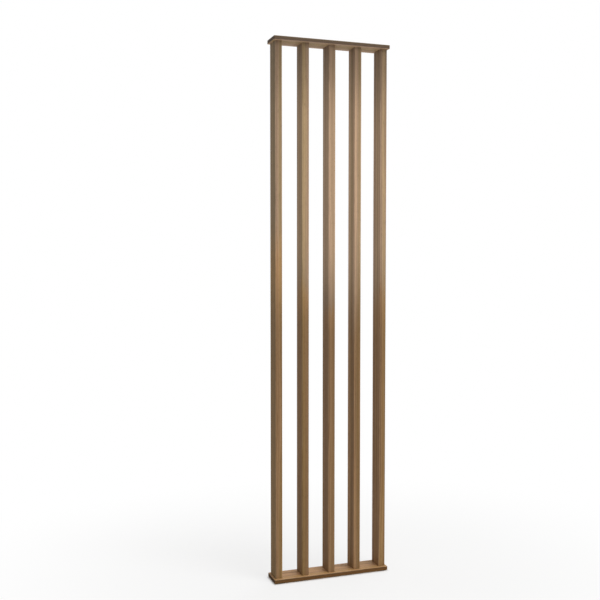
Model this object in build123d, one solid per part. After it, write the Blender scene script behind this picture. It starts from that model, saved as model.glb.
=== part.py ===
from build123d import *

import os

# A fixed slatted screen: upright slats, edge-on, between a thin top board and a thin bottom board.
# Two countersunk wood screws through each board hold each end of every slat, and four thin pads
# under the bottom board's corners keep it steady and off the floor.
# Millimetres. Origin at the middle of the underside, +X to the right, +Y to the back, +Z up.

# The whole screen, over its boards
screen_width = 500.0
screen_height = 2200.0

# The two boards
board_depth = 95.0
board_thickness = 15.0
board_corner_radius = 3.0
board_edge_radius = 1.0

# The slats between them
slat_count = 5
slat_width = 28.0
slat_depth = 70.0
slat_edge_radius = 1.5
end_overhang = 8.0

# The thin pads stuck under the bottom board, one at each corner
pad_length = 40.0
pad_width = 15.0
pad_thickness = 3.0
pad_corner_radius = 3.0
pad_inset = 5.0

# The wood screws, two to each end of a slat
screw_length = 60.0
screw_shank_diameter = 3.6
screw_thread_diameter = 5.0
screw_thread_pitch = 2.8
screw_thread_length = 36.0
screw_tip_length = 6.0
screw_head_diameter = 9.6
screw_head_rim = 0.5
screw_recess_width = 1.2
screw_recess_span = 5.0
screw_recess_depth = 2.4
screw_spacing = 36.0

# How far a head lies below the board's face, and the room round a screw in its holes
head_sink = 0.6
screw_clearance = 0.05

# Worked out from the sizes above
bottom_board_top = pad_thickness + board_thickness
top_board_underside = screen_height - board_thickness
slat_length = top_board_underside - bottom_board_top
slat_pitch = (screen_width - 2 * end_overhang - slat_width) / (slat_count - 1)
screw_head_height = (screw_head_diameter - screw_shank_diameter) / 2 + screw_head_rim
screw_bore_radius = screw_thread_diameter / 2 + screw_clearance


def upright_block(length_x, length_y, length_z, corner_radius):
    """A block standing on the XY plane, centred on Z, with its four upright edges rounded."""
    block = Box(length_x, length_y, length_z, align=(Align.CENTER, Align.CENTER, Align.MIN))
    return fillet(block.edges().filter_by(Axis.Z), corner_radius)


def board_blank():
    """A board lying on the XY plane, with rounded corners and eased top and bottom edges."""
    blank = upright_block(screen_width, board_depth, board_thickness, board_corner_radius)
    rims = blank.faces().filter_by(Axis.Z).edges()
    return fillet(rims, board_edge_radius)


def screw():
    """A countersunk wood screw, head up, with the top of its head at z = 0."""
    head_radius = screw_head_diameter / 2
    shank_radius = screw_shank_diameter / 2
    thread_radius = screw_thread_diameter / 2
    thread_start = -(screw_length - screw_tip_length)
    thread_end = thread_start + screw_thread_length - screw_tip_length
    turn_count = max(1, round((thread_end - thread_start) / screw_thread_pitch))
    turn = (thread_end - thread_start) / turn_count

    outline = [
        (0, 0),
        (head_radius, 0),
        (head_radius, -screw_head_rim),
        (shank_radius, -screw_head_height),
        (shank_radius, thread_end),
    ]
    for index in range(turn_count):
        crest = thread_end - (index + 0.5) * turn
        outline.append((thread_radius, crest))
        outline.append((shank_radius, crest - turn / 2))
    outline.append((0, -screw_length))
    body = revolve(make_face(Plane.XZ * Polyline(*outline, close=True)), Axis.Z)

    arm = Box(screw_recess_span, screw_recess_width, 2 * screw_recess_depth)
    return body - arm - Rot(0, 0, 90) * arm


def screw_bore():
    """The hole for one screw, head up, from the board's face to past the screw's tip."""
    head_radius = screw_head_diameter / 2 + screw_clearance
    outline = [
        (0, head_sink),
        (head_radius, head_sink),
        (head_radius, -screw_head_rim - screw_clearance),
        (screw_bore_radius, -screw_head_height - screw_clearance),
        (screw_bore_radius, -screw_length),
        (0, -screw_length - screw_tip_length / 2),
    ]
    return revolve(make_face(Plane.XZ * Polyline(*outline, close=True)), Axis.Z)


def slat_places():
    """The middles of the slats' feet on the bottom board's top face, from left to right."""
    first = -(slat_count - 1) * slat_pitch / 2
    return [Pos(first + index * slat_pitch, 0, bottom_board_top) for index in range(slat_count)]


def screw_places():
    """Each screw's name and place: head up in the top board, head down in the bottom one."""
    places = {}
    for number, foot in enumerate(slat_places(), start=1):
        for side, y in (("front", -screw_spacing / 2), ("back", screw_spacing / 2)):
            x = foot.position.X
            top = Pos(x, y, screen_height - head_sink)
            bottom = Pos(x, y, pad_thickness + head_sink) * Rot(180, 0, 0)
            places[f"top_screw_{number}_{side}"] = top
            places[f"bottom_screw_{number}_{side}"] = bottom
    return places


def pad_places():
    """Each pad's name and the middle of its underside, on the floor."""
    x = screen_width / 2 - pad_inset - pad_length / 2
    y = board_depth / 2 - pad_inset - pad_width / 2
    return {
        "floor_pad_front_left": Pos(-x, -y, 0),
        "floor_pad_front_right": Pos(x, -y, 0),
        "floor_pad_back_left": Pos(-x, y, 0),
        "floor_pad_back_right": Pos(x, y, 0),
    }


def screen_parts():
    """Every piece of the screen in its place, by name."""
    places = screw_places()
    bores = [place * screw_bore() for place in places.values()]
    blank = upright_block(slat_width, slat_depth, slat_length, slat_edge_radius)
    pad = upright_block(pad_length, pad_width, pad_thickness, pad_corner_radius)

    parts = {
        "bottom_board": Pos(0, 0, pad_thickness) * board_blank() - bores,
        "top_board": Pos(0, 0, top_board_underside) * board_blank() - bores,
    }
    for number, foot in enumerate(slat_places(), start=1):
        parts[f"slat_{number}"] = foot * blank - bores
    for name, place in places.items():
        parts[name] = place * screw()
    for name, place in pad_places().items():
        parts[name] = place * pad
    return parts


os.makedirs("parts", exist_ok=True)
for name, shape in screen_parts().items():
    export_step(shape, f"parts/{name}.step")
    print(name, round(shape.volume), "mm3")
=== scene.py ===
import math

import bpy
import numpy as np
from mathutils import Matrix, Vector


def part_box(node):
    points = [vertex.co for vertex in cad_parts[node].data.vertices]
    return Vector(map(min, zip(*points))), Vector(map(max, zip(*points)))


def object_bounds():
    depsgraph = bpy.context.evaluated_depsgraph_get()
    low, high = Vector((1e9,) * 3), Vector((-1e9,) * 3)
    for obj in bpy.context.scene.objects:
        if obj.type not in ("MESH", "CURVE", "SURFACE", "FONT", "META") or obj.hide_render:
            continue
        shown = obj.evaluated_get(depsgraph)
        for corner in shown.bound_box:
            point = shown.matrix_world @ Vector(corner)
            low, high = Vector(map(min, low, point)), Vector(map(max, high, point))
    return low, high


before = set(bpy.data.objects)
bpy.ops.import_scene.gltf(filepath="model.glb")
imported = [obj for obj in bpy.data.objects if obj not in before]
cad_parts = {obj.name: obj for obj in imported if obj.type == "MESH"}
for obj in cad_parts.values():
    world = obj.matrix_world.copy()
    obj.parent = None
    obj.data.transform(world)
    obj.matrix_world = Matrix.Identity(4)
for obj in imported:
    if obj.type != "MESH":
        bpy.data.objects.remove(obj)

cad_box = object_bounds()

# The five slats: planed hardwood battens set edge-on, with the grain upright, stained a mid
# brown and sprayed with a satin lacquer. Each is cut from its own plank, so no two show the same
# figure. Above a height the stain is painted greyer as a painted sheen, and the arrises are painted
# paler, partly wear and partly a painted highlight.


class Shade:
    """A socket among a material's nodes. Arithmetic on it adds Math nodes and gives a new one."""

    def __init__(self, tree, socket):
        self.tree = tree
        self.socket = socket

    def node(self, kind, settings, inputs, output=0):
        """Adds a node, sets its settings, then gives each input its value or its link."""
        made = self.tree.nodes.new(kind)
        for name, value in settings.items():
            setattr(made, name, value)
        for name, value in inputs.items():
            if isinstance(value, Shade):
                self.tree.links.new(value.socket, made.inputs[name])
            else:
                made.inputs[name].default_value = value
        return Shade(self.tree, made.outputs[output])

    def math(self, operation, first, second=0.0):
        return self.node("ShaderNodeMath", {"operation": operation}, {0: first, 1: second})

    def __add__(self, other):
        return self.math("ADD", self, other)

    def __radd__(self, other):
        return self.math("ADD", other, self)

    def __sub__(self, other):
        return self.math("SUBTRACT", self, other)

    def __rsub__(self, other):
        return self.math("SUBTRACT", other, self)

    def __mul__(self, other):
        return self.math("MULTIPLY", self, other)

    def __rmul__(self, other):
        return self.math("MULTIPLY", other, self)

    def __truediv__(self, other):
        return self.math("DIVIDE", self, other)

    def __abs__(self):
        return self.math("ABSOLUTE", self)

    def fraction(self):
        """What is left of a number past the whole number below it."""
        return self.math("FRACT", self)

    def rise(self, low, high):
        """0 below low and 1 above high, with a smooth S between them."""
        settings = {"interpolation_type": "SMOOTHSTEP"}
        inputs = {"Value": self, "From Min": low, "From Max": high}
        return self.node("ShaderNodeMapRange", settings, inputs)

    def blend(self, first, second):
        """The first colour where this is 0, and the second where it is 1."""
        return self.node("ShaderNodeMix", {"data_type": "RGBA"}, {0: self, 6: first, 7: second}, 2)

    def scaled(self, across, along):
        """This vector with its first two parts, across the grain, and its last, along it, scaled."""
        settings = {"operation": "MULTIPLY"}
        return self.node("ShaderNodeVectorMath", settings, {0: self, 1: (across, across, along)})

    def combined(self, first, second, third):
        """A vector, or a colour, with these three parts."""
        return self.node("ShaderNodeCombineXYZ", {}, {0: first, 1: second, 2: third})

    def parted(self):
        """The three parts of this vector."""
        return [self.node("ShaderNodeSeparateXYZ", {}, {0: self}, axis) for axis in range(3)]

    def noise(self, detail, offset):
        """Smooth random values from 0 to 1 at this point, moved by the offset for other ones."""
        moved = self.node("ShaderNodeVectorMath", {"operation": "ADD"}, {0: self, 1: offset})
        inputs = {"Vector": moved, "Scale": 1.0, "Detail": detail, "Roughness": 0.55}
        return self.node("ShaderNodeTexNoise", {"noise_dimensions": "3D"}, inputs)

    def noise_along(self, detail):
        """Smooth random values from 0 to 1 that change with this number alone."""
        inputs = {"W": self, "Scale": 1.0, "Detail": detail, "Roughness": 0.5}
        return self.node("ShaderNodeTexNoise", {"noise_dimensions": "1D"}, inputs)


def new_material(name):
    """A material with no nodes but its output, and the Shade that new nodes are added from."""
    material = bpy.data.materials.new(name)
    material.use_nodes = True
    material.node_tree.nodes.clear()
    output = material.node_tree.nodes.new("ShaderNodeOutputMaterial")
    return material, Shade(material.node_tree, output.inputs["Surface"])


def object_place(target):
    """Where a point of the piece is, in metres, in the screen's own frame."""
    return target.node("ShaderNodeTexCoord", {}, {}, "Object")


def relief(target, height, strength, distance):
    """The surface's normal, once the height has raised or sunk it by up to the distance."""
    inputs = {"Height": height, "Strength": strength, "Distance": distance}
    return target.node("ShaderNodeBump", {}, inputs)


def surface(target, inputs):
    """Gives the material a Principled surface with these inputs."""
    shader = target.node("ShaderNodeBsdfPrincipled", {}, inputs)
    target.tree.links.new(shader.socket, target.socket)


def give_finish(name, material):
    """Gives the CAD's piece this material alone."""
    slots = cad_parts[name].data.materials
    slots.clear()
    slots.append(material)


# Widths in metres, measured out from the pith or in from an arris
RING_WIDTH = 0.0034
BAND_WIDTH = 0.011
HUE_WIDTH = 1.7 * BAND_WIDTH
SEASON_WIDTH = 0.017
ARRIS_WIDTH = 0.0018

# How far the good and bad years, the log's bends and its small wobbles shift a ring, in metres
SEASON_SHIFT = 0.009
BEND_SHIFT = 0.02
WOBBLE_SHIFT = 0.0014

# How often each mark repeats in a metre, across the grain and along it
BEND = (12.0, 1.0)
WOBBLE = (120.0, 5.0)
FIBRE = (850.0, 14.0)
PORE = (1900.0, 62.0)
DRIFT = (9.0, 1.6)
WEAR_AND_HIGHLIGHT = (60.0, 9.0)

# How strongly each mark shows in the colour
LATE_WOOD_SHARE = 0.8
BAND_CONTRAST = 0.36
DRIFT_CONTRAST = 0.3
FIBRE_CONTRAST = 0.3
PORE_DARKNESS = 0.5
END_GRAIN_DARKNESS = 0.42
WEAR_AND_HIGHLIGHT_SHARE = 0.6

# The stain above the change of tone, painted greyer as a painted sheen, and the stain below it,
# its two tints, and the arrises' colour, partly wear and partly a painted highlight
STAIN_AND_SHEEN = {"early": (0.267, 0.184, 0.112, 1.0), "late": (0.176, 0.117, 0.067, 1.0)}
LOWER = {"early": (0.315, 0.19, 0.09, 1.0), "late": (0.205, 0.115, 0.049, 1.0)}
GOLDEN = (1.0, 1.01, 0.88, 1.0)
ROSY = (1.0, 0.975, 1.04, 1.0)
BARE = (1.0, 1.0, 1.0, 1.0)
WORN_AND_HIGHLIT = (0.52, 0.38, 0.24, 1.0)


def timber(name, grain_axis, seed, pith, change, golden, paleness_and_painted_light, edge_shade, left_shade):
    """Stained timber as a solid cut from a log, so that faces, edges and end grain agree.

    The rings are steps of the distance from the pith, a line along the grain, once one noise has
    made them wide or narrow and another has bent them: each ring darkens slowly and ends sharply.
    A coarser noise of the same distance sets off bands of several rings, some golden and some
    rosy. Pores are the peaks of a fine noise drawn out along the grain, dashes on a face and dots
    on end grain. The tone drifts along the grain. Above a height the colour turns greyer, a painted
    sheen, and below it the tone is deeper. The boards' paler faces are painted light, their darker
    edges and a slat's darker left side are painted shade, and the arrises are painted paler, partly
    wear and partly a painted highlight.
    """
    low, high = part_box(name)
    middle = (low + high) / 2
    half = (high - low) / 2
    order = [axis for axis in range(3) if axis != grain_axis] + [grain_axis]
    material, target = new_material("satin walnut, " + name)

    # Across the grain, across it again, and along it, from the middle of the piece
    parts = object_place(target).parted()
    local = [parts[axis] - middle[axis] for axis in order]
    point = target.combined(*local)
    moved = (seed * 1.7, seed * 2.9, seed * 0.83)

    bend = point.scaled(*BEND).noise(2.0, moved) - 0.5
    wobble = point.scaled(*WOBBLE).noise(3.0, moved) - 0.5
    spoke = target.combined(local[0] - pith[0], local[1] - pith[1], 0.0)
    from_pith = target.node("ShaderNodeVectorMath", {"operation": "LENGTH"}, {0: spoke}, "Value")
    season = (from_pith / SEASON_WIDTH + seed * 5.0).noise_along(2.0) - 0.5
    depth = from_pith + season * SEASON_SHIFT + bend * BEND_SHIFT + wobble * WOBBLE_SHIFT
    ring = (depth / RING_WIDTH).fraction()
    late_wood = ring.rise(0.2, 0.9) * (1.0 - ring.rise(0.93, 1.0))
    band = (depth / BAND_WIDTH + seed).noise_along(1.0).rise(0.3, 0.7)
    hue = (depth / HUE_WIDTH + seed * 3.0).noise_along(1.0) - golden

    # Pores are thinner in the dense late wood
    fibre = point.scaled(*FIBRE).noise(3.0, moved)
    pore = point.scaled(*PORE).noise(1.0, moved).rise(0.62, 0.72) * (1.25 - late_wood)

    # The change of tone is ragged, drawn by the drift and the bands; above it the colour is painted
    # greyer as a painted sheen
    drift = point.scaled(*DRIFT).noise(2.0, moved) - 0.5
    height, softness = change
    level = parts[2] + drift * 0.25 + (band - 0.5) * 0.08
    sheen_share = level.rise(height - softness, height + softness)

    # An arris is where the point is at the piece's limit in two directions at once
    limits = [half[axis] for axis in order]
    near = [abs(local[k]).rise(limits[k] - ARRIS_WIDTH, limits[k]) for k in range(3)]
    arris = near[0] * near[1] + near[1] * near[2] + near[0] * near[2]
    # The arrises' paler colour is partly wear and partly a painted highlight
    worn_and_highlit = arris * point.scaled(*WEAR_AND_HIGHLIGHT).noise(3.0, moved).rise(0.34, 0.56)

    # Which face the point is on, as the direction that the face looks in
    facing = target.node("ShaderNodeNewGeometry", {}, {}, "Normal").parted()
    end_grain = abs(facing[grain_axis]).rise(0.6, 0.9)
    # The edges' darkening, used on the boards, is painted shade
    edge = (abs(facing[0]) + abs(facing[1])).rise(0.5, 1.0)
    # The left side's darkening is painted shade
    left = facing[0].rise(-0.4, -0.9) * left_shade

    # Above the change of tone the colour is painted greyer as a painted sheen
    early = sheen_share.blend(LOWER["early"], STAIN_AND_SHEEN["early"])
    late = sheen_share.blend(LOWER["late"], STAIN_AND_SHEEN["late"])
    colour = (late_wood * LATE_WOOD_SHARE).blend(early, late)
    shade = 1.0 + (band - 0.5) * BAND_CONTRAST + drift * DRIFT_CONTRAST
    shade = shade + (fibre - 0.5) * FIBRE_CONTRAST
    shade = shade * (1.0 - pore * PORE_DARKNESS)
    shade = shade * (1.0 - end_grain * END_GRAIN_DARKNESS)
    # Paleness is a plain tone on the slats and painted light on the boards; the left side's
    # darkening is painted shade
    shade = shade * (1.0 - left) * paleness_and_painted_light
    tint = hue.rise(0.35, 0.65).blend(GOLDEN, ROSY)
    # The edge factor is painted shade on the boards' edges
    for factor in (target.combined(shade, shade, shade), tint, edge.blend(BARE, edge_shade)):
        colour = target.node(
            "ShaderNodeVectorMath", {"operation": "MULTIPLY"}, {0: colour, 1: factor}
        )
    colour = (worn_and_highlit * WEAR_AND_HIGHLIGHT_SHARE).blend(colour, WORN_AND_HIGHLIT)

    # The late wood and the fibres stand proud under the thin lacquer, and the pores are sunk
    proud = 0.6 * late_wood + 0.5 * fibre - 1.2 * pore
    surface(
        target,
        {
            "Base Color": colour,
            "Roughness": 0.55 + pore * 0.2 + fibre * 0.1 + end_grain * 0.1 - worn_and_highlit * 0.1,
            "Specular IOR Level": 0.1,
            "Normal": relief(target, proud, 0.35, 0.00012),
        },
    )
    give_finish(name, material)


# The axis that the slats' grain runs along
UPRIGHT = 2

# For each slat: its seed, its pith across the slat, the height and softness of its change of
# tone to the painted sheen above, its golden share, how pale it is, its edges' painted shade, and
# how much darker its left side is painted, as painted shade
SLATS = {
    "slat_1": (3.1, (-0.052, 0.031), (1.4, 0.12), 0.1, 1.1, BARE, 0.33),
    "slat_2": (4.4, (0.047, -0.058), (1.19, 0.05), -0.02, 0.95, BARE, 0.0),
    "slat_3": (5.7, (-0.036, -0.066), (1.1, 0.04), -0.06, 0.98, BARE, 0.0),
    "slat_4": (7.0, (0.061, 0.024), (1.08, 0.2), -0.04, 1.08, BARE, 0.0),
    "slat_5": (8.3, (-0.044, 0.052), (1.16, 0.09), -0.06, 1.06, BARE, 0.0),
}
for name, wood in SLATS.items():
    timber(name, UPRIGHT, *wood)

# The top and bottom boards: two planks of the same stained timber with the grain running from
# end to end, corners rounded and edges eased. Their edges are painted darker, the top board's
# greyer, as painted shade; their faces are painted paler as painted light, and the top board is
# wholly in the painted sheen colour.
ENDWAYS = 0
DARK_EDGE = (0.27, 0.225, 0.165, 1.0)
GREY_EDGE = (0.3, 0.3, 0.34, 1.0)
BOARDS = {
    "bottom_board": (11.7, (0.021, -0.048), (0.3, 0.1), 0.0, 1.75, DARK_EDGE, 0.0),
    "top_board": (14.0, (-0.016, 0.055), (-0.5, 0.1), -0.08, 2.0, GREY_EDGE, 0.0),
}
for name, wood in BOARDS.items():
    timber(name, ENDWAYS, *wood)

# The wood screws: countersunk, zinc plated and faintly yellow, driven through the boards into the
# end grain of the slats until each head lies just under the face.
DULL_PLATE = (0.43, 0.39, 0.3, 1.0)
BRIGHT_PLATE = (0.55, 0.49, 0.36, 1.0)
material, target = new_material("zinc plate")
place = object_place(target)
blotch = place.scaled(420.0, 420.0).noise(3.0, (0.0, 0.0, 0.0))
scratch = place.scaled(2400.0, 300.0).noise(2.0, (4.0, 0.0, 0.0))
surface(
    target,
    {
        "Base Color": blotch.rise(0.3, 0.7).blend(DULL_PLATE, BRIGHT_PLATE),
        "Metallic": 1.0,
        "Roughness": 0.26 + blotch * 0.16,
        "Normal": relief(target, scratch, 0.2, 0.00005),
    },
)
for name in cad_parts:
    if "screw" in name:
        give_finish(name, material)

# The pads under the bottom board's corners: black rubber, stuck on, dull and slightly grainy.
RUBBER = (0.016, 0.015, 0.014, 1.0)
DUSTY_RUBBER = (0.035, 0.032, 0.029, 1.0)
material, target = new_material("black rubber")
place = object_place(target)
grain = place.scaled(1800.0, 1800.0).noise(3.0, (0.0, 0.0, 0.0))
dust = place.scaled(70.0, 70.0).noise(3.0, (2.0, 0.0, 0.0))
surface(
    target,
    {
        "Base Color": dust.rise(0.4, 0.7).blend(RUBBER, DUSTY_RUBBER),
        "Roughness": 0.78 + grain * 0.14,
        "Normal": relief(target, grain, 0.4, 0.0001),
    },
)
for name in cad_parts:
    if "pad" in name:
        give_finish(name, material)

# The studio: a pale painted floor that keeps the screen's soft shadow, and a white surround. To
# the camera the floor also glows: not under the screen, mostly just past it, and wholly far off,
# so that it runs into the surround with no edge.
FLOOR_SIZE = 40.0
WHITE = (1.0, 1.0, 1.0, 1.0)
PAINT = (0.93, 0.93, 0.92, 1.0)
GLOW_NEAR = 0.72
GLOW_EDGE = 0.015
GLOW_START = 0.1
GLOW_REACH = 1.6
UNDER_THE_RIM = 0.004
side = np.array([-0.5, 0.5]) * FLOOR_SIZE
across, back = np.meshgrid(side, side)
corners = np.stack([across.ravel(), back.ravel(), np.zeros(4)], axis=1)
mesh = bpy.data.meshes.new("studio floor")
mesh.from_pydata(corners.tolist(), [], [(0, 1, 3, 2)])
floor = bpy.data.objects.new("studio_floor", mesh)
bpy.context.scene.collection.objects.link(floor)

material, target = new_material("pale floor")
paint = target.node("ShaderNodeBsdfDiffuse", {}, {"Color": PAINT})
glow = target.node("ShaderNodeEmission", {}, {"Color": WHITE, "Strength": 1.0})
parts = object_place(target).parted()
reach = [cad_box[1][axis] - UNDER_THE_RIM for axis in range(2)]
past = [target.math("MAXIMUM", abs(parts[axis]) - reach[axis], 0.0) for axis in range(2)]
outside = target.math("SQRT", past[0] * past[0] + past[1] * past[1])
share = GLOW_NEAR * outside.rise(0.0, GLOW_EDGE)
share = share + (1.0 - GLOW_NEAR) * outside.rise(GLOW_START, GLOW_REACH)
share = share * target.node("ShaderNodeLightPath", {}, {}, "Is Camera Ray")
mixed = target.node("ShaderNodeMixShader", {}, {0: share, 1: paint, 2: glow})
target.tree.links.new(mixed.socket, target.socket)
floor.data.materials.append(material)

# The surround: white to the camera, in gloss and through glass, and plain daylight to the screen
AMBIENT = 0.38
world = bpy.data.worlds.new("white surround")
bpy.context.scene.world = world
world.use_nodes = True
world.node_tree.nodes.clear()
output = world.node_tree.nodes.new("ShaderNodeOutputWorld")
target = Shade(world.node_tree, output.inputs["Surface"])
seen = target.node("ShaderNodeLightPath", {}, {}, "Is Camera Ray")
glossy = target.node("ShaderNodeLightPath", {}, {}, "Is Glossy Ray")
through = target.node("ShaderNodeLightPath", {}, {}, "Is Transmission Ray")
shown = target.math("MINIMUM", seen + glossy + through, 1.0)
strength = AMBIENT + (1.0 - AMBIENT) * shown
sky = target.node("ShaderNodeBackground", {}, {"Color": WHITE, "Strength": strength})
target.tree.links.new(sky.socket, target.socket)


def hang_lamp(name, kind, settings, place, aim):
    """Makes a lamp with these settings, hangs it at its place and points it at its aim."""
    lamp = bpy.data.lights.new(name, kind)
    for setting, value in settings.items():
        setattr(lamp, setting, value)
    stand = bpy.data.objects.new(name, lamp)
    stand.location = place
    stand.rotation_euler = (Vector(aim) - Vector(place)).to_track_quat("-Z", "Y").to_euler()
    bpy.context.scene.collection.objects.link(stand)


# Two broad soft lights, and a window of light that falls on the slats' middles alone
CEILING_LIGHT = {"energy": 1.4, "angle": math.radians(40.0)}
BACK_LIGHT = {"energy": 0.8, "angle": math.radians(60.0)}
WINDOW_LIGHT = {
    "shape": "RECTANGLE",
    "size": 0.5,
    "size_y": 0.84,
    "spread": math.radians(18.0),
    "energy": 1.5,
}
hang_lamp("ceiling light", "SUN", CEILING_LIGHT, (1.2, -2.3, 4.2), (0.0, 0.0, 1.2))
hang_lamp("back light", "SUN", BACK_LIGHT, (1.8, 2.6, 2.4), (0.0, 0.0, 1.1))
hang_lamp("window light", "AREA", WINDOW_LIGHT, (-0.62, -1.4, 1.61), (0.06, 0.0, 1.61))

# The camera: at the height of a standing person's chest, in front of the screen and to its left.
CAMERA_PLACE = (-1.289, -3.358, 1.321)
CAMERA_HEADING = math.radians(-19.1)
CAMERA_TILT = math.radians(-2.72)
CAMERA_LENS = 52.2
lens = bpy.data.cameras.new("camera")
lens.lens = CAMERA_LENS
camera = bpy.data.objects.new("camera", lens)
camera.location = CAMERA_PLACE
camera.rotation_euler = (math.radians(90.0) + CAMERA_TILT, 0.0, CAMERA_HEADING)
bpy.context.scene.collection.objects.link(camera)
bpy.context.scene.camera = camera
bpy.context.scene.view_settings.view_transform = "Standard"
